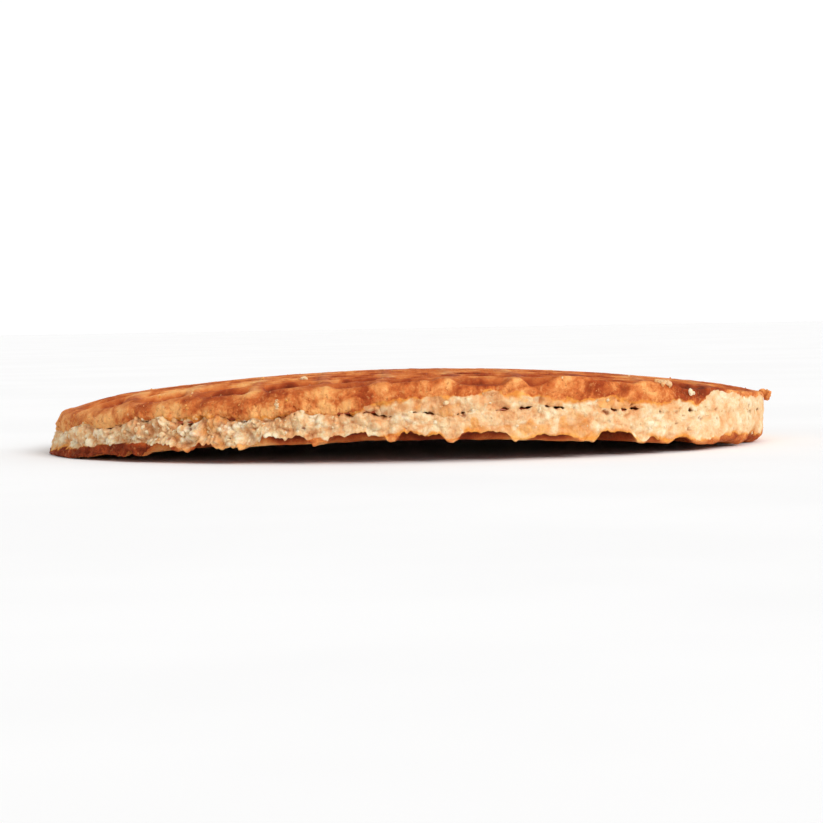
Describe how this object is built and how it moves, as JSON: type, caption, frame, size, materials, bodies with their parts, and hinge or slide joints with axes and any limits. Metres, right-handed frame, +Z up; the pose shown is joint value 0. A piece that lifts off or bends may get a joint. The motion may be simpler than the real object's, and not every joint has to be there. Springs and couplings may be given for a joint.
{
  "type": "stroopwafel",
  "caption": "Round flat waffle biscuit, split and filled with a layer of caramel syrup, with a square grid of pockets baked into both faces and a pale crumbly cut rim, bowed a little.",
  "frame": {"origin": "middle of the bounding box, on the surface the wafel rests on", "axes": "+Z up through the thickness, the shortest extent; the wafel is bowed along X, so its left and right ends touch down; +X and +Y lie along the grid"},
  "size_m": [0.09, 0.0896, 0.0094],
  "materials": {
    "wafer_upper": "baked wafer, dry and slightly greasy",
    "wafer_lower": "baked wafer, cut crumb",
    "syrup": "sticky caramel"
  },
  "bodies": {
    "root": {"wafer_bottom": "wafer_lower", "syrup": "syrup", "wafer_top": "wafer_upper"}
  },
  "joints": []
}
